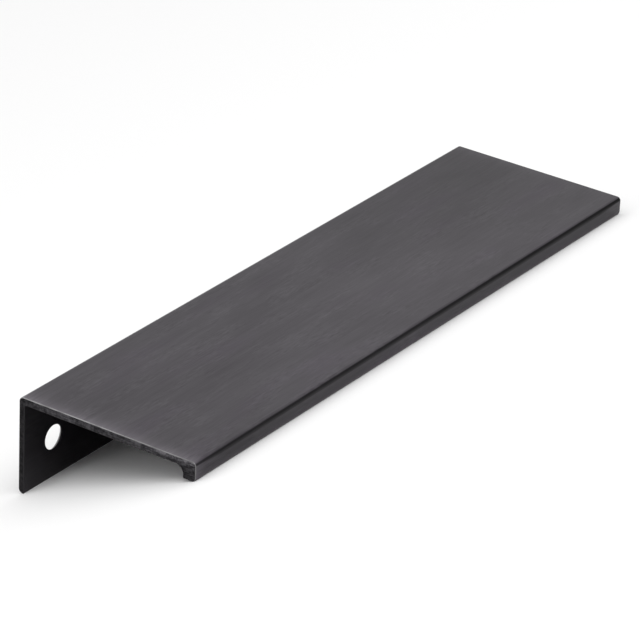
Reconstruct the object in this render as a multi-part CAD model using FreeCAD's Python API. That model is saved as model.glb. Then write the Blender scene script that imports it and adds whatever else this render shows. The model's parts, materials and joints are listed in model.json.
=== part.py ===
import FreeCAD, Part
import math
import os

# Handleless finger pull: one length of extruded aluminium profile, in millimetres.
# The flat plate sits on the top edge of a door or drawer front, the thin leg is screwed
# to the back of it, and the lip at the front is what the fingers pull on.
# The profile is stored as it comes to rest on a level floor: plate up, tipped forward
# until the lip and the foot of the leg both touch the floor.
# Row frame: +X along the profile, +Y towards the leg, +Z up, origin on the floor
# below the middle of the whole length and depth.

# Section of the profile
length = 145.5
depth = 40.0
leg_height = 20.0
plate_thickness = 1.5
leg_thickness = 1.2
lip_height = 4.0
lip_thickness = 2.8

# Roundings of the section's corners
front_top_radius = 0.8
back_top_radius = 0.95
leg_foot_outer_radius = 0.9
leg_foot_inner_radius = 0.2
leg_root_fillet = 0.5
lip_root_fillet = 1.8
lip_inner_radius = 0.3
lip_front_radius = 0.85

# Screw holes in the leg, countersunk from the back for flat-headed screws
# At the length above they stand the usual 128 mm apart
hole_from_end = 8.75
hole_diameter = 5.0
hole_below_top = 11.7
countersink_land = 0.3
countersink_angle = 90.0

# Small break of the sawn ends
end_break = 0.12

X_AXIS = FreeCAD.Vector(1, 0, 0)
Y_AXIS = FreeCAD.Vector(0, 1, 0)


def section_corners():
    """Corners of the square-cornered section, each with its rounding: depth, height, radius."""
    leg_inner = depth - leg_thickness
    return [
        (0, 0, front_top_radius),
        (depth, 0, back_top_radius),
        (depth, -leg_height, leg_foot_outer_radius),
        (leg_inner, -leg_height, leg_foot_inner_radius),
        (leg_inner, -plate_thickness, leg_root_fillet),
        (lip_thickness, -plate_thickness, lip_root_fillet),
        (lip_thickness, -lip_height, lip_inner_radius),
        (0, -lip_height, lip_front_radius),
    ]


def rounded_outline(corners, x):
    """Closed wire in the plane at x, with an arc at each corner and straight runs between."""
    points = [FreeCAD.Vector(x, y, z) for y, z, radius in corners]
    arcs = []
    for index, (y, z, radius) in enumerate(corners):
        corner = points[index]
        back = (points[index - 1] - corner).normalize()
        ahead = (points[(index + 1) % len(points)] - corner).normalize()
        half_turn = back.getAngle(ahead) / 2
        inward = (back + ahead).normalize()
        reach = radius / math.tan(half_turn)
        middle = corner + inward * (radius / math.sin(half_turn) - radius)
        arcs.append(Part.Arc(corner + back * reach, middle, corner + ahead * reach))
    edges = []
    for index, arc in enumerate(arcs):
        edges.append(arc.toShape())
        following = arcs[(index + 1) % len(arcs)]
        edges.append(Part.LineSegment(arc.EndPoint, following.StartPoint).toShape())
    return Part.Wire(edges)


def plain_profile():
    """The extruded length, lying square in its own axes: front face at y 0, top at z 0."""
    start = -length / 2
    face = Part.Face(rounded_outline(section_corners(), start))
    solid = face.extrude(X_AXIS * length)
    end_edges = [edge for edge in solid.Edges if lies_in_end(edge)]
    return solid.makeChamfer(end_break, end_edges)


def lies_in_end(edge):
    """True for an edge that lies in one of the two sawn end faces."""
    box = edge.BoundBox
    slack = end_break / 10
    in_the_end = abs(abs(box.Center.x) - length / 2) < slack
    return in_the_end and box.XLength < slack


def screw_hole(x):
    """Cutter for one screw hole: a plain bore that opens out in a cone to the back face."""
    radius = hole_diameter / 2
    inner_face = depth - leg_thickness
    cone_length = leg_thickness - countersink_land
    rim = radius + cone_length * math.tan(math.radians(countersink_angle / 2))
    at_inner = FreeCAD.Vector(x, inner_face, -hole_below_top)
    at_cone = FreeCAD.Vector(x, inner_face + countersink_land, -hole_below_top)
    at_back = FreeCAD.Vector(x, depth, -hole_below_top)
    bore = Part.makeCylinder(radius, leg_thickness * 2, at_inner - Y_AXIS * leg_thickness, Y_AXIS)
    cone = Part.makeCone(radius, rim, cone_length, at_cone, Y_AXIS)
    clear = Part.makeCylinder(rim, leg_thickness, at_back, Y_AXIS)
    return bore.fuse([cone, clear])


def resting_angle():
    """Angle in radians by which the profile tips forward until lip and leg both touch."""
    span = (depth - leg_thickness + leg_foot_inner_radius) - lip_front_radius
    drop = (leg_height - leg_foot_inner_radius) - (lip_height - lip_front_radius)
    rounding = math.asin((leg_foot_inner_radius - lip_front_radius) / math.hypot(span, drop))
    return math.atan2(drop, span) + rounding


def tipped(y, z, angle):
    """A point of the section after the profile has tipped forward."""
    across = y * math.cos(angle) - z * math.sin(angle)
    up = y * math.sin(angle) + z * math.cos(angle)
    return across, up


def at_rest(solid):
    """The profile tipped forward and set on the floor, its footprint centred on the origin."""
    angle = resting_angle()
    lip_y, lip_z = tipped(lip_front_radius, lip_front_radius - lip_height, angle)
    top_y, top_z = tipped(front_top_radius, -front_top_radius, angle)
    foot_y, foot_z = tipped(depth - leg_foot_outer_radius, leg_foot_outer_radius - leg_height, angle)
    foremost = min(top_y - front_top_radius, lip_y - lip_front_radius)
    rearmost = foot_y + leg_foot_outer_radius
    solid.rotate(FreeCAD.Vector(0, 0, 0), X_AXIS, math.degrees(angle))
    solid.translate(FreeCAD.Vector(0, -(foremost + rearmost) / 2, lip_front_radius - lip_z))
    return solid


profile = plain_profile()
hole_x = length / 2 - hole_from_end
for x in (-hole_x, hole_x):
    profile = profile.cut(screw_hole(x))
profile = at_rest(profile)

box = profile.optimalBoundingBox()
print("solids", len(profile.Solids), "valid", profile.isValid(), "volume", round(profile.Volume, 1))
print("resting angle", round(math.degrees(resting_angle()), 3), "degrees")
print("size", round(box.XLength, 3), round(box.YLength, 3), round(box.ZLength, 3))
print("lowest", round(box.ZMin, 4), "centre", round(box.Center.x, 4), round(box.Center.y, 4))

os.makedirs("parts", exist_ok=True)
profile.exportStep("parts/finger_pull_profile.step")
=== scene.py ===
import json
import math
import bmesh
import bpy
from mathutils import Matrix, Vector


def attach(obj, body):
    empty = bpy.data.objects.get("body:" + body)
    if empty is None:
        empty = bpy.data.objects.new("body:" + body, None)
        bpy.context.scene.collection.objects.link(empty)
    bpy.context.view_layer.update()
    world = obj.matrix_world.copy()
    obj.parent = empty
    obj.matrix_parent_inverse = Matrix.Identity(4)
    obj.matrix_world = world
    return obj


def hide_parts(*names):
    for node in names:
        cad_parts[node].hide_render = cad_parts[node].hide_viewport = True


# %% [markdown]
# A finger pull, dressed in Blender
#
# The object is one sawn length of extruded aluminium: a flat plate, a thin leg down the back
# with two countersunk screw holes, and a thicker lip at the front for the fingers.
# Its finish is a dark gunmetal anodising over brushing that runs along the length.
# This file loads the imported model, draws the same profile again with finely divided roundings,
# gives it three finishes, and sets a soft studio around it.

# %% Load the frame
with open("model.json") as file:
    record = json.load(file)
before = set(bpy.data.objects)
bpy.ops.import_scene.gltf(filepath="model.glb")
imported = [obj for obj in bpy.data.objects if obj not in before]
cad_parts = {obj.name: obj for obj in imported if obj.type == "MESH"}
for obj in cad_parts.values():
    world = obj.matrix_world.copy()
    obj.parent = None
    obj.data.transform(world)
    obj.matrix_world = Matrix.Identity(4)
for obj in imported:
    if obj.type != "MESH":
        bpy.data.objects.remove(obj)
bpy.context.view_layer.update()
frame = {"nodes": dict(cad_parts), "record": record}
NODE = "finger_pull_profile"
MM = 0.001
print("frame loaded:", sorted(frame["nodes"]))

# %% [markdown]
# Sizes
#
# An extrusion is a section times a length, so a handful of sizes says all of it. They are the
# sizes of the real profile, in millimetres, and each corner of the section has its own rounding.
# Going round the section from the front top corner: front top, back top, outer and inner edge
# of the leg's foot, root of the leg, root of the lip, inner and front edge of the lip.

# %% The profile's sizes
SIZES = {
    "Length": 145.5,
    "Depth": 40.0,
    "Leg Height": 20.0,
    "Plate Thickness": 1.5,
    "Leg Thickness": 1.2,
    "Lip Height": 4.0,
    "Lip Thickness": 2.8,
    "Front Top Radius": 0.8,
    "Back Top Radius": 0.95,
    "Foot Outer Radius": 0.9,
    "Foot Inner Radius": 0.2,
    "Leg Root Radius": 0.5,
    "Lip Root Radius": 1.8,
    "Lip Inner Radius": 0.3,
    "Lip Front Radius": 0.85,
    "Hole Radius": 2.5,
    "Hole From End": 8.75,
    "Hole Below Top": 11.7,
    "Countersink Land": 0.3,
}
END_BREAK = 0.12 * MM
RIM_BREAK = 0.06 * MM
ARC_POINTS = 14
HOLE_POINTS = 96
print("sizes named:", len(SIZES))

# %% [markdown]
# Where the profile lies
#
# The profile rests on its lip and on the foot of its leg, so the plate slopes forward. The packed
# record says how: the flat underside of the plate is a mount, and its normal gives the slope and
# its point gives the place. `stand` moves a point from the profile's own square axes, where the
# front is at y 0 and the top at z 0, to where the profile lies.

# %% Slope and place from the record
underside = next(m for m in frame["record"]["mounts"] if m["name"] == "plate_underside")
slope = math.atan2(underside["axis"][1], -underside["axis"][2])
leg_inner = SIZES["Depth"] - SIZES["Leg Thickness"]
underside_middle = Vector((0, (SIZES["Lip Thickness"] + leg_inner) / 2, -SIZES["Plate Thickness"])) * MM
turn = Matrix.Rotation(slope, 4, "X")
place = Vector(underside["pos_m"]) - turn @ underside_middle
stand = Matrix.Translation(place) @ turn
print("slope", round(math.degrees(slope), 2), "degrees, place", [round(v / MM, 3) for v in place])

# %% [markdown]
# The camera
#
# The camera stands where the photographer's did, seen from the profile: far off with a long lens,
# above and in front of the near end. Its angles, distance and lens were fitted to the straight
# edges in the photograph, because a camera placed by eye leaves every edge a little askew. In the
# photograph the plate is level. Here it slopes, so the camera is turned by the same slope, and the
# profile looks the same in both.

# %% Camera
CAMERA_AZIMUTH = math.radians(-56.22)
CAMERA_ELEVATION = math.radians(26.67)
CAMERA_ROLL = math.radians(-2.69)
CAMERA_AWAY = 773.66 * MM
CAMERA_ASIDE = Vector((3.345, -5.583)) * MM
LENS_MM = 225.5
SENSOR_MM = 36.0


def photographed_camera():
    """The camera's place in axes through the middle of the plate's top, with the plate level."""
    azimuth, elevation = CAMERA_AZIMUTH, CAMERA_ELEVATION
    back = Vector((math.sin(azimuth) * math.cos(elevation), -math.cos(azimuth) * math.cos(elevation),
                   math.sin(elevation)))
    right = Vector((0, 0, 1)).cross(back).normalized()
    up = back.cross(right)
    rolled_right = math.cos(CAMERA_ROLL) * right - math.sin(CAMERA_ROLL) * up
    rolled_up = math.sin(CAMERA_ROLL) * right + math.cos(CAMERA_ROLL) * up
    eye = back * CAMERA_AWAY - rolled_right * CAMERA_ASIDE.x + rolled_up * CAMERA_ASIDE.y
    matrix = Matrix((rolled_right, rolled_up, back)).transposed().to_4x4()
    matrix.translation = eye
    return matrix


camera = bpy.data.objects.new("camera", bpy.data.cameras.new("camera"))
bpy.context.scene.collection.objects.link(camera)
camera.data.lens = LENS_MM
camera.data.sensor_width = SENSOR_MM
top_middle = Matrix.Translation(Vector((0, SIZES["Depth"] / 2, 0)) * MM)
camera.matrix_world = stand @ top_middle @ photographed_camera()
bpy.context.scene.camera = camera
print("camera at", [round(v, 3) for v in camera.matrix_world.translation])

# %% [markdown]
# A helper for nodes
#
# Shapes and finishes are both made of nodes. One helper adds a node, sets its options, and fills
# its inputs: a plain value is typed in, and another node's output is linked.


# %% Node helpers
def node(tree, kind, inputs=(), **settings):
    """A new node, with its inputs given by name in a dict or by place in a list."""
    made = tree.nodes.new(kind)
    for name, value in settings.items():
        setattr(made, name, value)
    pairs = inputs.items() if isinstance(inputs, dict) else enumerate(inputs)
    for key, value in pairs:
        if isinstance(value, bpy.types.NodeSocket):
            tree.links.new(value, made.inputs[key])
        elif value is not None:
            made.inputs[key].default_value = value
    return made


def maths(tree, operation, *values):
    """The result of one Math node."""
    return node(tree, "ShaderNodeMath", list(values), operation=operation).outputs[0]


# %% [markdown]
# Three finishes
#
# The plate, leg and lip share a brushed dark finish. A brush mark is long along the length and a
# fraction of a millimetre wide, so a noise that is stretched along and squeezed across makes it.
# Several such noises are added: hairlines and long streaks everywhere, and short strokes that
# gather in patches. Slower noise gives the smudges of hand burnishing, and the layer drifts a
# little to violet. The sawn ends are mottled and darker, and a bright highlight is painted on
# their broken edges.
#
# A photograph could be wrapped round the piece, but it would stretch at the roundings and show
# its seams. Noise needs neither: each material turns Object coordinates back into the profile's
# own square axes, in millimetres, so the pattern stays on the metal from every side.


# %% An empty metal
def new_material(name):
    """An empty material with its Principled shader and the profile's own coordinates in mm."""
    material = bpy.data.materials.new(name)
    material.use_nodes = True
    tree = material.node_tree
    tree.nodes.clear()
    shader = node(tree, "ShaderNodeBsdfPrincipled")
    shader.inputs["Metallic"].default_value = 1.0
    node(tree, "ShaderNodeOutputMaterial", [shader.outputs[0]])
    stored = node(tree, "ShaderNodeTexCoord").outputs["Object"]
    own = node(tree, "ShaderNodeMapping",
               {"Vector": stored, "Location": place, "Rotation": (slope, 0, 0), "Scale": (MM, MM, MM)},
               vector_type="TEXTURE").outputs[0]
    return material, tree, shader, own


def engraved(tree, shader, height, strength, depth):
    """Fine relief on the surface of a shader, from a height pattern."""
    bump = node(tree, "ShaderNodeBump", {"Height": height, "Strength": strength, "Distance": depth})
    tree.links.new(bump.outputs[0], shader.inputs["Normal"])


print("patterns turned back by", round(math.degrees(slope), 2), "degrees")

# %% Noise
STREAK_ROUGHNESS = 0.55


def noise(tree, coords, scale, detail, roughness=0.5):
    """Noise from 0 to 1, with about `scale` patches to each unit of the coordinates."""
    return node(tree, "ShaderNodeTexNoise", {"Vector": coords, "Scale": scale, "Detail": detail,
                                             "Roughness": roughness}).outputs["Fac"]


def stretched(tree, coords, factors):
    """The coordinates times a factor on each axis. A factor below 1 draws a pattern out."""
    return node(tree, "ShaderNodeMapping", {"Vector": coords, "Scale": factors}).outputs[0]


def streaks(tree, coords, length, width, detail):
    """Noise drawn out along X: patches of about this length and width in mm, from 0 to 1."""
    drawn_out = stretched(tree, coords, (1 / length, 1 / width, 1 / width))
    return noise(tree, drawn_out, 1.0, detail, STREAK_ROUGHNESS)


def centred(tree, value, amount):
    """Noise moved to vary about zero, times an amount."""
    return maths(tree, "MULTIPLY", maths(tree, "SUBTRACT", value, 0.5), amount)


print("noise ready")


# %% Sums, factors and colours
def summed(tree, *values):
    """All the values added up."""
    total = values[0]
    for value in values[1:]:
        total = maths(tree, "ADD", total, value)
    return total


def multiplied(tree, *values):
    """All the values multiplied."""
    product = values[0]
    for value in values[1:]:
        product = maths(tree, "MULTIPLY", product, value)
    return product


def lessened(tree, mask, amount):
    """A factor of 1 that drops by an amount where the mask is 1."""
    return maths(tree, "SUBTRACT", 1.0, maths(tree, "MULTIPLY", mask, amount))


def raised(tree, mask, amount):
    """A factor of 1 that rises by an amount where the mask is 1."""
    return maths(tree, "MULTIPLY_ADD", mask, amount, 1.0)


def tinted(tree, factor, dark, light):
    """A colour between two."""
    ramp = node(tree, "ShaderNodeValToRGB", [factor])
    ramp.color_ramp.elements[0].color = (*dark, 1)
    ramp.color_ramp.elements[1].color = (*light, 1)
    return ramp.outputs["Color"]


def layered(tree, colour, over):
    """One colour seen through another: the two multiplied."""
    return node(tree, "ShaderNodeVectorMath", [colour, over], operation="MULTIPLY").outputs[0]


def scaled(tree, colour, amount):
    """A colour made lighter or darker by a factor."""
    return node(tree, "ShaderNodeVectorMath", {0: colour, "Scale": amount}, operation="SCALE").outputs[0]


print("factors and colours ready")

# %% [markdown]
# Where each effect lies
#
# A highlight is painted on the plate at the ends. A dark reflection is painted on the front top
# rounding, and shade on the back top rounding, the front face, the screw holes and the channel,
# which is darkest low down at its ends. A painted sheen makes the plate a little lighter in the
# middle of its front half, and painted shade makes it darker towards the far back corner.
#
# These places are told by masks: 0 where there is no effect, 1 where it is full, and a soft rise
# between two distances. Depth is counted from the front and height from the top, both in
# millimetres, so a number alone is a distance from one of these, and a number beside a size is
# how far a soft edge reaches from the line that the size gives. Where two masks both have to
# hold, they are multiplied.

# %% Distances on the section
HALF_LENGTH = SIZES["Length"] / 2
CHANNEL_FRONT, CHANNEL_BACK = SIZES["Lip Thickness"], leg_inner
UNDERSIDE = -SIZES["Plate Thickness"]
MIDDLE_OF_DEPTH = (10.0, 30.0)


def apart(tree, coords):
    """The three coordinates as separate values."""
    return list(node(tree, "ShaderNodeSeparateXYZ", [coords]).outputs)


def grows(tree, value, nought, one):
    """0 where the value is at `nought`, rising softly to 1 at `one`, in either direction."""
    return node(tree, "ShaderNodeMapRange", {"Value": value, "From Min": nought, "From Max": one},
                interpolation_type="SMOOTHSTEP").outputs[0]


def from_end(tree, coords):
    """Distance to the nearer sawn end."""
    return maths(tree, "SUBTRACT", HALF_LENGTH, maths(tree, "ABSOLUTE", apart(tree, coords)[0]))


def along(tree, coords, at_start, at_finish):
    """A value that goes evenly from one at the end at -X to another at the end at +X."""
    return node(tree, "ShaderNodeMapRange", {
        "Value": apart(tree, coords)[0], "From Min": -HALF_LENGTH, "From Max": HALF_LENGTH,
        "To Min": at_start, "To Max": at_finish}).outputs[0]


def towards_back(tree, coords, at_front, at_back):
    """A value that goes from one near the lip to another near the leg."""
    return node(tree, "ShaderNodeMapRange", {
        "Value": apart(tree, coords)[1], "From Min": MIDDLE_OF_DEPTH[0], "From Max": MIDDLE_OF_DEPTH[1],
        "To Min": at_front, "To Max": at_back}, interpolation_type="SMOOTHSTEP").outputs[0]


print("channel from", CHANNEL_FRONT, "to", CHANNEL_BACK, "mm")

# %% Masks for the inside
# Painted shade in the channel: its share at the ends and deep in, how far from the ends it changes, and
# how much less of it lies near the plate.
CHANNEL_SHADE_AT_END = 0.6
CHANNEL_SHADE_DEEP = 0.2
CHANNEL_END_REACH = 30.0
NEAR_PLATE_HEIGHTS = (-12.0, -3.0)
NEAR_PLATE_RELIEF = 0.6
# Share of the holes' painted shade that falls on the countersinks.
COUNTERSINK_SHARE = 0.4


def inside_channel(tree, coords):
    """1 on the faces that look into the channel between lip, plate and leg."""
    y, z = apart(tree, coords)[1:]
    under = grows(tree, z, UNDERSIDE + 0.3, UNDERSIDE + 0.1)
    behind_lip = grows(tree, y, CHANNEL_FRONT - 0.4, CHANNEL_FRONT - 0.1)
    before_leg = grows(tree, y, CHANNEL_BACK + 0.8, CHANNEL_BACK + 0.5)
    return multiplied(tree, under, behind_lip, before_leg)


def unbrushed(tree, coords):
    """Share of painted shade in the channel: most low down at its ends, least near the plate."""
    deep_in = grows(tree, from_end(tree, coords), 0.0, CHANNEL_END_REACH)
    near_plate = grows(tree, apart(tree, coords)[2], *NEAR_PLATE_HEIGHTS)
    by_depth = maths(tree, "MULTIPLY_ADD", deep_in, CHANNEL_SHADE_DEEP - CHANNEL_SHADE_AT_END,
                     CHANNEL_SHADE_AT_END)
    return multiplied(tree, by_depth, lessened(tree, near_plate, NEAR_PLATE_RELIEF))


def inside_holes(tree, coords):
    """1 on the bores, less on the countersinks: the only faces within the leg's thickness, where shade is
    painted.
    """
    y, z = apart(tree, coords)[1:]
    bore_end, foot = CHANNEL_BACK + SIZES["Countersink Land"], -SIZES["Leg Height"]
    in_bore = grows(tree, y, bore_end + 0.15, bore_end)
    share = maths(tree, "MULTIPLY_ADD", in_bore, 1 - COUNTERSINK_SHARE, COUNTERSINK_SHARE)
    off_inner_face = grows(tree, y, CHANNEL_BACK + 0.02, CHANNEL_BACK + 0.1)
    off_back = grows(tree, y, SIZES["Depth"] - 0.05, SIZES["Depth"] - 0.15)
    above_foot = grows(tree, z, foot + 2.0, foot + 3.0)
    clear_of_plate = grows(tree, z, UNDERSIDE - 3.5, UNDERSIDE - 4.5)
    return multiplied(tree, share, off_inner_face, off_back, above_foot, clear_of_plate)


print("channel shade", CHANNEL_SHADE_AT_END, "at the ends,", CHANNEL_SHADE_DEEP, "deep in")

# %% Masks for the outside
# Reach of the painted highlight at the ends, in mm.
END_HIGHLIGHT_REACH = 1.6
# The band where a dark reflection is painted on the front top rounding.
BAND_WIDENS_TO = 1.7
BAND_NARROWS_BY = 0.45
BAND_END_REACH = 8.0
# Where the painted sheen lies: distances from the ends, and depths from the front.
SHEEN_ALONG = (8.0, 58.0)
SHEEN_ACROSS = (27.0, 17.0)
# Where the painted shade towards the far end lies, and its share at the front and the back.
FAR_SHADE_ALONG = (0.0, 65.0)
FAR_SHADE_SHARE = (0.05, 0.27)


def worn_thin(tree, coords):
    """1 at the sawn ends, where a highlight is painted, fading within a few millimetres."""
    return maths(tree, "EXPONENT", maths(tree, "DIVIDE", from_end(tree, coords), -END_HIGHLIGHT_REACH))


def front_rounding(tree, coords):
    """1 in a band on the lower half of the front top rounding, where a dark reflection is painted: broader
    to +X, narrower at the ends.
    """
    y, z = apart(tree, coords)[1:]
    radius = SIZES["Front Top Radius"]
    at_end = grows(tree, from_end(tree, coords), BAND_END_REACH, 0.0)
    widened = multiplied(tree, z, along(tree, coords, 1.0, BAND_WIDENS_TO))
    narrowed = multiplied(tree, z, raised(tree, at_end, BAND_NARROWS_BY))
    in_front = grows(tree, y, radius + 0.1, radius - 0.1)
    below_top = grows(tree, widened, -0.08, -0.4)
    above_face = grows(tree, narrowed, -radius - 0.5, -radius - 0.05)
    return multiplied(tree, in_front, below_top, above_face)


def back_rounding(tree, coords):
    """1 on the upper half of the rounding between top and back, where shade is painted."""
    y, z = apart(tree, coords)[1:]
    radius = SIZES["Back Top Radius"]
    starts = SIZES["Depth"] - radius
    return multiplied(tree, grows(tree, y, starts + 0.15, starts + 0.4),
                      grows(tree, z, -radius + 0.1, -radius + 0.4))


def front_face(tree, coords):
    """1 on the front face below the rounding, where shade is painted, fading towards the bottom of the
    lip.
    """
    y, z = apart(tree, coords)[1:]
    radius, bottom = SIZES["Front Top Radius"], -SIZES["Lip Height"]
    in_front = grows(tree, y, 0.5, 0.2)
    below_rounding = grows(tree, z, -radius + 0.1, -radius - 0.1)
    above_bottom = grows(tree, z, bottom - 0.3, -radius - 1.0)
    return multiplied(tree, in_front, below_rounding, above_bottom)


def burnished_middle(tree, coords):
    """1 where a sheen is painted: in the middle of the length on the front half, fading out towards the
    ends and the back.
    """
    return multiplied(tree, grows(tree, from_end(tree, coords), *SHEEN_ALONG),
                      grows(tree, apart(tree, coords)[1], *SHEEN_ACROSS))


def dulled_end(tree, coords):
    """Share of painted shade towards the end at +X, most of it near the back."""
    return multiplied(tree, grows(tree, apart(tree, coords)[0], *FAR_SHADE_ALONG),
                      towards_back(tree, coords, *FAR_SHADE_SHARE))


# The reach printed here is that of the painted highlight at the ends.
print("ends worn over", END_HIGHLIGHT_REACH, "mm")

# %% [markdown]
# The brushed finish
#
# Each kind of mark has a length and a width in millimetres, a detail that says how finely it is
# broken up, and a contrast that says how much it varies the tone. The marks together choose a tone
# between a dark and a light grey, a slow drift tints it, and the masks make it lighter where a
# highlight or sheen is painted and darker where shade or a dark reflection is painted. The short
# strokes also vary how rough the surface is and stand in it as a fine relief, so light breaks up along
# them.

# %% Brush marks and their tone
MARKS = {
    "strokes": {"length": 2.2, "width": 0.4, "detail": 2.0},
    "hairlines": {"length": 9.0, "width": 0.15, "detail": 2.0},
    "broad strokes": {"length": 9.0, "width": 1.3, "detail": 2.0},
    "long streaks": {"length": 50.0, "width": 1.0, "detail": 1.0},
    "clouds": {"length": 14.0, "width": 4.0, "detail": 2.0},
    "smudges": {"length": 36.0, "width": 12.0, "detail": 3.0},
    "drift": {"length": 30.0, "width": 9.0, "detail": 1.0},
}
CONTRAST = {"strokes": 1.3, "broad strokes": 0.4, "hairlines": 0.65, "long streaks": 0.35,
            "clouds": 0.5, "smudges": 1.1}
MIDDLE_TONE = 0.5
PATCH_EDGE = (0.42, 0.6)
BETWEEN_PATCHES = 0.2


def brushed_tone(tree, marks):
    """0 where the brushed layer is darkest and 1 where it is lightest."""
    varied = {kind: centred(tree, marks[kind], amount) for kind, amount in CONTRAST.items()}
    in_patches = maths(tree, "ADD", grows(tree, marks["clouds"], *PATCH_EDGE), BETWEEN_PATCHES)
    gathered = multiplied(tree, summed(tree, varied["strokes"], varied["broad strokes"]), in_patches)
    return summed(tree, gathered, varied["hairlines"], varied["long streaks"], varied["clouds"],
                  varied["smudges"], MIDDLE_TONE)


print("kinds of mark:", len(MARKS))

# %% Painted highlight, sheen and shade of the brushed finish
# Strength of the painted highlight at the near and far ends, from front to back.
NEAR_END_HIGHLIGHT = (1.03, 1.32)
FAR_END_HIGHLIGHT = (0.1, 0.6)
HIGHLIGHT_BREAK_UP = 0.5
# Strength of the painted sheen.
SHEEN_GAIN = 0.1
# A painted dark reflection on the front rounding, and painted shade on the back rounding, the front face
# and the holes.
FRONT_ROUNDING_SHADE = (0.84, 0.96)
BACK_ROUNDING_SHADE = 0.55
FRONT_FACE_SHADE = 0.4
HOLE_SHADE = 0.75


def brushed_light(tree, coords, marks, end_highlight_mask):
    """How light each place is: above 1 where a highlight or sheen is painted, below 1 where shade or a
    dark reflection is painted.
    """
    inside = inside_channel(tree, coords)
    # Painted highlight at the ends: strongest at the near end towards the back, broken up by the broad
    # strokes, kept out of the channel.
    end_highlight_strength = along(tree, coords, towards_back(tree, coords, *NEAR_END_HIGHLIGHT),
                 towards_back(tree, coords, *FAR_END_HIGHLIGHT))
    broken_up = maths(tree, "ADD", marks["broad strokes"], HIGHLIGHT_BREAK_UP)
    patchy = multiplied(tree, end_highlight_mask, end_highlight_strength, broken_up, lessened(tree, inside, 1.0))
    sheen_and_far_shade = multiplied(tree, raised(tree, burnished_middle(tree, coords), SHEEN_GAIN),
                         lessened(tree, dulled_end(tree, coords), 1.0))
    # The painted dark reflection on the front top rounding, a little stronger towards the end at +X.
    rounding = multiplied(tree, front_rounding(tree, coords), along(tree, coords, *FRONT_ROUNDING_SHADE))
    # Painted highlight and sheen lighten; painted shade and the painted dark reflection darken.
    return multiplied(tree, maths(tree, "ADD", patchy, 1.0), sheen_and_far_shade,
                      lessened(tree, inside, unbrushed(tree, coords)), lessened(tree, rounding, 1.0),
                      lessened(tree, back_rounding(tree, coords), BACK_ROUNDING_SHADE),
                      lessened(tree, front_face(tree, coords), FRONT_FACE_SHADE),
                      lessened(tree, inside_holes(tree, coords), HOLE_SHADE))


# The values printed here are the strengths of the painted highlight at the two ends.
print("wear at the near end", NEAR_END_HIGHLIGHT, "and at the far end", FAR_END_HIGHLIGHT)

# %% The brushed finish
BRUSHED_DARK = (0.054, 0.0485, 0.056)
BRUSHED_LIGHT = (0.108, 0.101, 0.112)
CLEAR = (1.0, 1.0, 1.0)
VIOLET = (1.0, 0.965, 1.015)
DRIFT_EDGE = (0.5, 0.72)
BRUSHED_ROUGHNESS = 0.36
STROKES_ROUGHEN = 0.16
SMUDGES_ROUGHEN = 0.12
STROKE_RELIEF = 0.25
STROKE_DEPTH = 0.03 * MM


def brushed_finish():
    """Dark anodised metal with brush marks along the length and soft burnished smudges."""
    material, tree, shader, coords = new_material("brushed_dark_anodised")
    marks = {kind: streaks(tree, coords, **sizes) for kind, sizes in MARKS.items()}
    end_highlight_mask = worn_thin(tree, coords)
    drift = multiplied(tree, grows(tree, marks["drift"], *DRIFT_EDGE), lessened(tree, end_highlight_mask, 1.0))
    grey = tinted(tree, brushed_tone(tree, marks), BRUSHED_DARK, BRUSHED_LIGHT)
    colour = layered(tree, grey, tinted(tree, drift, CLEAR, VIOLET))
    light = brushed_light(tree, coords, marks, end_highlight_mask)
    tree.links.new(scaled(tree, colour, light), shader.inputs["Base Color"])
    roughness = summed(tree, centred(tree, marks["strokes"], STROKES_ROUGHEN),
                       centred(tree, marks["smudges"], SMUDGES_ROUGHEN), BRUSHED_ROUGHNESS)
    tree.links.new(roughness, shader.inputs["Roughness"])
    engraved(tree, shader, marks["strokes"], STROKE_RELIEF, STROKE_DEPTH)
    return material


brushed = brushed_finish()
print("finish:", brushed.name, "with", len(brushed.node_tree.nodes), "nodes")

# %% [markdown]
# The sawn ends
#
# A saw tears the metal, so the cut face is mottled: light flecks, thin marks drawn out from front
# to back, and darker stains. Three noises of different sizes give these. The brushed finish
# wouldn't do here, because its marks run along the length and would show on the ends as dots.
# Shade is painted on the face below the plate and in the back corner, and a highlight under the
# top edge near the lip.

# %% The sawn finish
SAWN_DARK = (0.016, 0.015, 0.017)
SAWN_LIGHT = (0.105, 0.1, 0.108)
FLECKS = {"scale": 1.6, "detail": 4.0, "roughness": 0.65}
SAW_MARKS = {"scale": 1.0, "detail": 2.0}
STAINS = {"scale": 0.16, "detail": 2.0}
SAW_STRETCH = (1, 0.35, 4)
FLECK_CONTRAST, SAW_CONTRAST, STAIN_CONTRAST = 2.3, 1.4, 1.2
SAWN_TONE = 0.4
# Painted shade below the plate, on the leg and in the back corner, and a painted highlight under the top
# edge near the lip.
BELOW_PLATE_SHADE, ON_LEG_SHADE, BACK_CORNER_SHADE = 0.4, 0.1, 0.4
HIGHLIGHT_GAIN = 1.6
SAWN_ROUGHNESS = 0.5
FLECKS_ROUGHEN = 0.3
SAW_RELIEF = 0.3
SAW_DEPTH = 0.05 * MM


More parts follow.
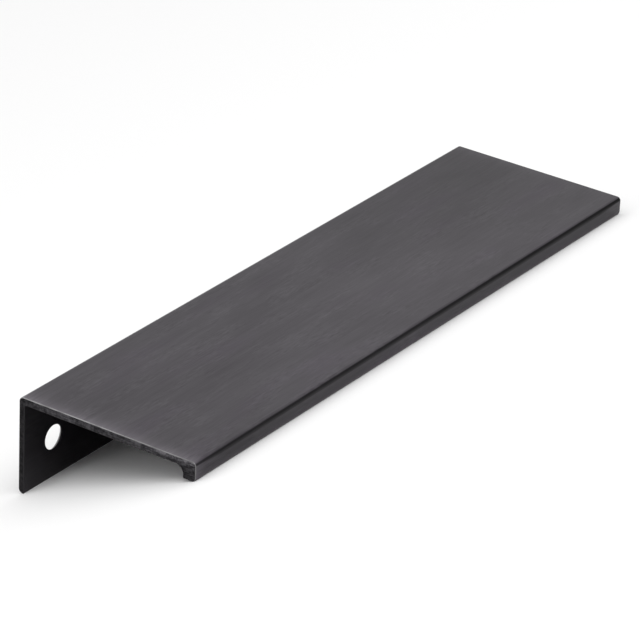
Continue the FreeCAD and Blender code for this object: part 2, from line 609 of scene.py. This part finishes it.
def sawn_light(tree, coords):
    """How light the cut face is: painted shade below the plate and at the back, a painted highlight near
    the lip.
    """
    y, z = apart(tree, coords)[1:]
    below_plate = grows(tree, z, UNDERSIDE + 0.4, UNDERSIDE - 0.6)
    on_leg = grows(tree, y, CHANNEL_BACK - 3.0, CHANNEL_BACK - 0.5)
    back_corner = grows(tree, y, CHANNEL_BACK - 6.0, CHANNEL_BACK + 0.5)
    # A painted highlight under the top edge near the lip.
    highlit = multiplied(tree, grows(tree, z, -1.1, -0.25), grows(tree, y, 15.0, 7.0))
    return multiplied(tree, lessened(tree, below_plate, BELOW_PLATE_SHADE),
                      lessened(tree, multiplied(tree, below_plate, on_leg), ON_LEG_SHADE),
                      lessened(tree, back_corner, BACK_CORNER_SHADE), raised(tree, highlit, HIGHLIGHT_GAIN))


def sawn_finish():
    """The cut face: dark, with short saw marks and light flecks, and a painted highlight near the lip."""
    material, tree, shader, coords = new_material("sawn_end_metal")
    flecks = noise(tree, coords, **FLECKS)
    saw = noise(tree, stretched(tree, coords, SAW_STRETCH), **SAW_MARKS)
    stains = noise(tree, coords, **STAINS)
    tone = summed(tree, centred(tree, flecks, FLECK_CONTRAST), centred(tree, saw, SAW_CONTRAST),
                  centred(tree, stains, STAIN_CONTRAST), SAWN_TONE)
    colour = scaled(tree, tinted(tree, tone, SAWN_DARK, SAWN_LIGHT), sawn_light(tree, coords))
    tree.links.new(colour, shader.inputs["Base Color"])
    roughness = maths(tree, "ADD", centred(tree, flecks, FLECKS_ROUGHEN), SAWN_ROUGHNESS)
    tree.links.new(roughness, shader.inputs["Roughness"])
    engraved(tree, shader, saw, SAW_RELIEF, SAW_DEPTH)
    return material


sawn = sawn_finish()
print("finish:", sawn.name, "with", len(sawn.node_tree.nodes), "nodes")

# %% [markdown]
# The painted highlight on the broken edges
#
# The narrow slopes round the ends are dark, with a painted highlight along the top, most towards
# the back, and down the front of the lip, where there is less of it at the far end. An even bright
# rim would look drawn on, so a noise keeps it uneven.

# %% The painted edge highlight
# The edge's own dark colour, and the painted highlight on it.
EDGE_DARK = (0.035, 0.034, 0.036)
EDGE_HIGHLIGHT = (0.42, 0.415, 0.42)
HIGHLIGHT_PATCHES = {"scale": 0.35, "detail": 4.0}
FRONT_HIGHLIGHT_ALONG = (0.8, 0.2)
HIGHLIGHT_TOWARDS_BACK = (0.9, 1.7)
PATCH_CONTRAST = 1.3
HIGHLIGHT_TONE = 0.6
EDGE_ROUGHNESS = 0.38
PATCHES_SMOOTH = -0.2


def worn_finish():
    """The broken edges of the ends: a painted highlight along the top and the lip's front, dark elsewhere.
    """
    material, tree, shader, coords = new_material("painted_edge_highlight")
    patches = noise(tree, coords, **HIGHLIGHT_PATCHES)
    y, z = apart(tree, coords)[1:]
    on_top = grows(tree, z, -0.45, -0.2)
    in_front = multiplied(tree, grows(tree, y, 0.7, 0.3), along(tree, coords, *FRONT_HIGHLIGHT_ALONG))
    uneven = summed(tree, centred(tree, patches, PATCH_CONTRAST), HIGHLIGHT_TONE)
    # The painted highlight, strongest towards the back and broken up by the patches.
    highlit = multiplied(tree, maths(tree, "MAXIMUM", on_top, in_front),
                        towards_back(tree, coords, *HIGHLIGHT_TOWARDS_BACK), uneven)
    tree.links.new(tinted(tree, highlit, EDGE_DARK, EDGE_HIGHLIGHT), shader.inputs["Base Color"])
    roughness = maths(tree, "ADD", centred(tree, patches, PATCHES_SMOOTH), EDGE_ROUGHNESS)
    tree.links.new(roughness, shader.inputs["Roughness"])
    return material


edge_highlight_material = worn_finish()
print("finish:", edge_highlight_material.name, "with", len(edge_highlight_material.node_tree.nodes), "nodes")

# %% [markdown]
# The profile, drawn by Geometry Nodes
#
# The shape follows a rule, so a node tree can draw it from its sizes. A circle of eight points
# is moved onto the eight corners of the section, Fillet Curve rounds each corner with its own
# radius, and Curve to Mesh sweeps the section along a straight line and caps the ends.
# The other way would be to type in the mesh, but then no size could be changed later.
# The result is kept as a plain mesh at the end, so nothing depends on the tree after that.

# %% A tree with a named input for each size
tree = bpy.data.node_groups.new("profile_from_section", "GeometryNodeTree")
for name in SIZES:
    tree.interface.new_socket(name=name, in_out="INPUT", socket_type="NodeSocketFloat")
for name in ("Arc Points", "Hole Points"):
    tree.interface.new_socket(name=name, in_out="INPUT", socket_type="NodeSocketInt")
for name in ("Surface Finish", "End Finish"):
    tree.interface.new_socket(name=name, in_out="INPUT", socket_type="NodeSocketMaterial")
tree.interface.new_socket(name="Geometry", in_out="OUTPUT", socket_type="NodeSocketGeometry")
given = node(tree, "NodeGroupInput").outputs
print("tree inputs:", len(given) - 1)


# %% The section's eight corners
def by_index(kind, values):
    """A field that gives the first value at point 0, the second at point 1, and so on."""
    switch = node(tree, "GeometryNodeIndexSwitch", data_type=kind)
    while len(switch.index_switch_items) < len(values):
        switch.index_switch_items.new()
    tree.links.new(node(tree, "GeometryNodeInputIndex").outputs[0], switch.inputs["Index"])
    for place_in_list, value in enumerate(values):
        tree.links.new(value, switch.inputs[str(place_in_list)])
    return switch.outputs[0]


def less(value):
    """A size counted downwards."""
    return maths(tree, "MULTIPLY", value, -1.0)


def vector(*parts):
    """Up to three values as one vector. Those left out are 0."""
    return node(tree, "ShaderNodeCombineXYZ", parts).outputs[0]


leg_inner_y = maths(tree, "SUBTRACT", given["Depth"], given["Leg Thickness"])
plate_under = less(given["Plate Thickness"])
foot = less(given["Leg Height"])
lip_end = less(given["Lip Height"])
corners = [
    vector(0.0, 0.0), vector(given["Depth"], 0.0),
    vector(given["Depth"], foot), vector(leg_inner_y, foot),
    vector(leg_inner_y, plate_under), vector(given["Lip Thickness"], plate_under),
    vector(given["Lip Thickness"], lip_end), vector(0.0, lip_end),
]
radii = [given[name] for name in SIZES if name.endswith("Radius") and name != "Hole Radius"]
print("corners", len(corners), "roundings", len(radii))

# %% Section and sweep
ring = node(tree, "GeometryNodeCurvePrimitiveCircle", {"Resolution": len(corners)}, mode="RADIUS")
section = node(tree, "GeometryNodeSetPosition", {"Geometry": ring.outputs["Curve"],
                                                 "Position": by_index("VECTOR", corners)})
rounded = node(tree, "GeometryNodeFilletCurve", {"Curve": section.outputs[0], "Count": given["Arc Points"],
                                                 "Radius": by_index("FLOAT", radii)}, mode="POLY")
half = maths(tree, "MULTIPLY", given["Length"], 0.5)
line = node(tree, "GeometryNodeCurvePrimitiveLine", {"Start": vector(less(half)), "End": vector(half)},
            mode="POINTS")
upright = node(tree, "GeometryNodeSetCurveTilt", {"Curve": line.outputs[0], "Tilt": math.pi})
swept = node(tree, "GeometryNodeCurveToMesh", {"Curve": upright.outputs[0],
                                               "Profile Curve": rounded.outputs[0], "Fill Caps": True})
print("section swept along X")

# %% [markdown]
# The screw holes
#
# Each hole is a plain bore and a cone that opens to the back. The cutter is one mesh: a drum with
# three rings, whose middle ring moves to where the bore ends and the cone begins. Two separate
# cutters would touch along that ring and leave slivers. The cutter is instanced on two points, so
# it is made once and the tree repeats it, and one Mesh Boolean takes both holes away.

# %% The cutter for one hole
OVERSHOOT = 1.0 * MM
land = given["Countersink Land"]
bore_length = maths(tree, "ADD", given["Leg Thickness"], OVERSHOOT)
cone_depth = maths(tree, "ADD", maths(tree, "SUBTRACT", given["Leg Thickness"], land), OVERSHOOT)
drum = node(tree, "GeometryNodeMeshCylinder", {"Vertices": given["Hole Points"], "Side Segments": 2,
                                               "Radius": 1.0, "Depth": 2.0})
on_x, on_y, on_z = apart(tree, node(tree, "GeometryNodeInputPosition").outputs[0])
in_cone = maths(tree, "MULTIPLY", maths(tree, "MAXIMUM", on_z, 0.0), cone_depth)
in_bore = maths(tree, "MULTIPLY", maths(tree, "MINIMUM", on_z, 0.0), bore_length)
ring_r = maths(tree, "ADD", given["Hole Radius"], in_cone)
ring_z = maths(tree, "ADD", land, maths(tree, "ADD", in_cone, in_bore))
drilled_to = vector(maths(tree, "MULTIPLY", on_x, ring_r), maths(tree, "MULTIPLY", on_y, ring_r), ring_z)
drill = node(tree, "GeometryNodeSetPosition", {"Geometry": drum.outputs["Mesh"], "Position": drilled_to})
print("cutter reaches", OVERSHOOT / MM, "mm past both sides of the leg")

# %% Two cutters and the cut
POINTING_BACK = (-math.pi / 2, 0.0, 0.0)
hole_x = maths(tree, "SUBTRACT", half, given["Hole From End"])
hole_z = less(given["Hole Below Top"])
spots = node(tree, "GeometryNodeMeshLine", {"Count": 2,
                                            "Start Location": vector(less(hole_x), leg_inner_y, hole_z),
                                            "Offset": vector(hole_x, leg_inner_y, hole_z)},
             mode="END_POINTS")
drills = node(tree, "GeometryNodeInstanceOnPoints", {"Points": spots.outputs[0],
                                                     "Instance": drill.outputs[0],
                                                     "Rotation": POINTING_BACK})
cutters = node(tree, "GeometryNodeRealizeInstances", [drills.outputs[0]])
drilled = node(tree, "GeometryNodeMeshBoolean", {"Mesh 1": swept.outputs[0], "Mesh 2": cutters.outputs[0]},
               operation="DIFFERENCE", solver="EXACT")
print("two holes cut")

# %% Finishes on the faces, and the end of the tree
FACING_X = 0.9
normal_x = apart(tree, node(tree, "GeometryNodeInputNormal").outputs[0])[0]
is_end = node(tree, "FunctionNodeCompare", {"A": maths(tree, "ABSOLUTE", normal_x), "B": FACING_X},
              operation="GREATER_THAN").outputs[0]
realized = node(tree, "GeometryNodeRealizeInstances", [drilled.outputs[0]])
surfaced = node(tree, "GeometryNodeSetMaterial", {"Geometry": realized.outputs[0],
                                                  "Material": given["Surface Finish"]})
ended = node(tree, "GeometryNodeSetMaterial", {"Geometry": surfaced.outputs[0], "Selection": is_end,
                                               "Material": given["End Finish"]})
node(tree, "NodeGroupOutput", [ended.outputs[0]])
print("tree nodes:", len(tree.nodes))


# %% Run the tree and keep its result as a plain mesh
def drawn_profile():
    """The profile as a mesh object, made by the tree in its own square axes."""
    host = bpy.data.objects.new("profile_host", bpy.data.meshes.new("profile_host"))
    bpy.context.scene.collection.objects.link(host)
    modifier = host.modifiers.new("profile", "NODES")
    modifier.node_group = tree
    inputs = [item for item in tree.interface.items_tree if item.in_out == "INPUT"]
    identifiers = {item.name: item.identifier for item in inputs}
    values = {name: size * MM for name, size in SIZES.items()}
    values.update({"Arc Points": ARC_POINTS, "Hole Points": HOLE_POINTS,
                   "Surface Finish": brushed, "End Finish": sawn})
    for name, value in values.items():
        modifier[identifiers[name]] = value
    depsgraph = bpy.context.evaluated_depsgraph_get()
    mesh = bpy.data.meshes.new_from_object(host.evaluated_get(depsgraph), depsgraph=depsgraph)
    host.modifiers.remove(modifier)
    bpy.data.objects.remove(host)
    made = bpy.data.objects.new("brushed_profile", mesh)
    bpy.context.scene.collection.objects.link(made)
    return made


profile = drawn_profile()
print("profile:", len(profile.data.vertices), "points, box",
      [round(v / MM, 2) for v in profile.dimensions])

# %% [markdown]
# Broken edges
#
# A saw leaves a sharp edge that is then broken with a file or a brush, and it is this narrow
# slope that catches the light round the end. bmesh finds the edges where two faces meet steeply,
# which are the ends and the rims of the holes, and bevels them. One Bevel modifier would give
# both kinds of edge the same finish, and only the ends carry the painted highlight. Weighted
# normals then keep the flats flat right up to their roundings.

# %% Bevel the ends and the rims
STEEP = math.radians(35)
NEARLY_AT_END = (HALF_LENGTH - 0.01) * MM
SAME_FINISH = -1


def bevel(shape, edges, width, segments, finish):
    """Rounded slopes of a width along edges, in the material slot given, or in that beside them."""
    bmesh.ops.bevel(shape, geom=edges, offset=width, segments=segments, profile=0.5, affect="EDGES",
                    clamp_overlap=False, material=finish)


def break_edges(mesh):
    """Narrow bevels round both sawn ends, and finer ones round the screw holes."""
    mesh.materials.append(edge_highlight_material)
    highlight_index = len(mesh.materials) - 1
    shape = bmesh.new()
    shape.from_mesh(mesh)
    steep = [edge for edge in shape.edges if edge.calc_face_angle(0) > STEEP]
    at_end = [edge for edge in steep if all(abs(v.co.x) > NEARLY_AT_END for v in edge.verts)]
    at_hole = [edge for edge in steep if not any(abs(v.co.x) > NEARLY_AT_END for v in edge.verts)]
    counts = {"end edges": len(at_end), "hole edges": len(at_hole)}
    bevel(shape, at_hole, RIM_BREAK, 1, SAME_FINISH)
    # The end bevels take the finish with the painted highlight.
    bevel(shape, at_end, END_BREAK, 3, highlight_index)
    for face in shape.faces:
        face.smooth = True
    shape.to_mesh(mesh)
    shape.free()
    return counts


print("edges broken:", break_edges(profile.data))

# %% Weighted normals, kept in the mesh
FLATS_FIRST = 100
weighted = profile.modifiers.new("flat_flats", "WEIGHTED_NORMAL")
weighted.weight = FLATS_FIRST
depsgraph = bpy.context.evaluated_depsgraph_get()
final = bpy.data.meshes.new_from_object(profile.evaluated_get(depsgraph), depsgraph=depsgraph)
profile.modifiers.clear()
profile.data = final
print("faces:", len(final.polygons))

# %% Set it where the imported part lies
profile.data.transform(stand)
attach(profile, "root")
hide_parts(NODE)
print("profile set at slope", round(math.degrees(slope), 2))

# %% [markdown]
# The floor and the studio
#
# The photograph's ground is plain white, so the floor is plain and pale. Dark metal shows what
# it mirrors, so the room around is an even white, and one wide soft light in front, above the
# lip, only shapes the shadow.

# %% Floor
FLOOR_WHITE = (0.97, 0.97, 0.97, 1)
FLOOR_ROUGHNESS = 0.9
FLOOR_SHINE = 0.1
FLOOR_HALF_WIDTH = 6.0


def plain_floor(half_width):
    """A flat pale sheet under the profile."""
    corners_at = [(x * half_width, y * half_width, 0) for x, y in ((-1, -1), (1, -1), (1, 1), (-1, 1))]
    mesh = bpy.data.meshes.new("floor")
    mesh.from_pydata(corners_at, [], [(0, 1, 2, 3)])
    floor = bpy.data.objects.new("floor", mesh)
    bpy.context.scene.collection.objects.link(floor)
    material = bpy.data.materials.new("pale_floor")
    material.use_nodes = True
    shader = material.node_tree.nodes["Principled BSDF"]
    shader.inputs["Base Color"].default_value = FLOOR_WHITE
    shader.inputs["Roughness"].default_value = FLOOR_ROUGHNESS
    shader.inputs["Specular IOR Level"].default_value = FLOOR_SHINE
    floor.data.materials.append(material)
    return floor


floor = plain_floor(FLOOR_HALF_WIDTH)
print("floor laid:", [round(v, 1) for v in floor.dimensions[:2]], "m")


# %% Lights
def soft_light(name, azimuth_deg, elevation_deg, away, width, height, power):
    """A wide soft light that looks at the profile from a direction, at a distance in metres."""
    light = bpy.data.lights.new(name, "AREA")
    light.shape = "RECTANGLE"
    light.size = width
    light.size_y = height
    light.energy = power
    lamp = bpy.data.objects.new(name, light)
    bpy.context.scene.collection.objects.link(lamp)
    azimuth, elevation = math.radians(azimuth_deg), math.radians(elevation_deg)
    direction = Vector((math.cos(azimuth) * math.cos(elevation), math.sin(azimuth) * math.cos(elevation),
                        math.sin(elevation)))
    lamp.location = direction * away
    lamp.rotation_euler = direction.to_track_quat("Z", "Y").to_euler()
    return lamp


window = soft_light("front_window", azimuth_deg=-115, elevation_deg=42, away=2.4, width=1.8,
                    height=1.4, power=24)
print("one soft light at", [round(v, 2) for v in window.location])

# %% World
ROOM_WHITE = (1, 1, 1, 1)
ROOM_STRENGTH = 0.84
world = bpy.data.worlds.new("studio")
world.use_nodes = True
background = world.node_tree.nodes["Background"]
background.inputs["Color"].default_value = ROOM_WHITE
background.inputs["Strength"].default_value = ROOM_STRENGTH
bpy.context.scene.world = world
bpy.context.scene.view_settings.view_transform = "Standard"
print("soft white room around")
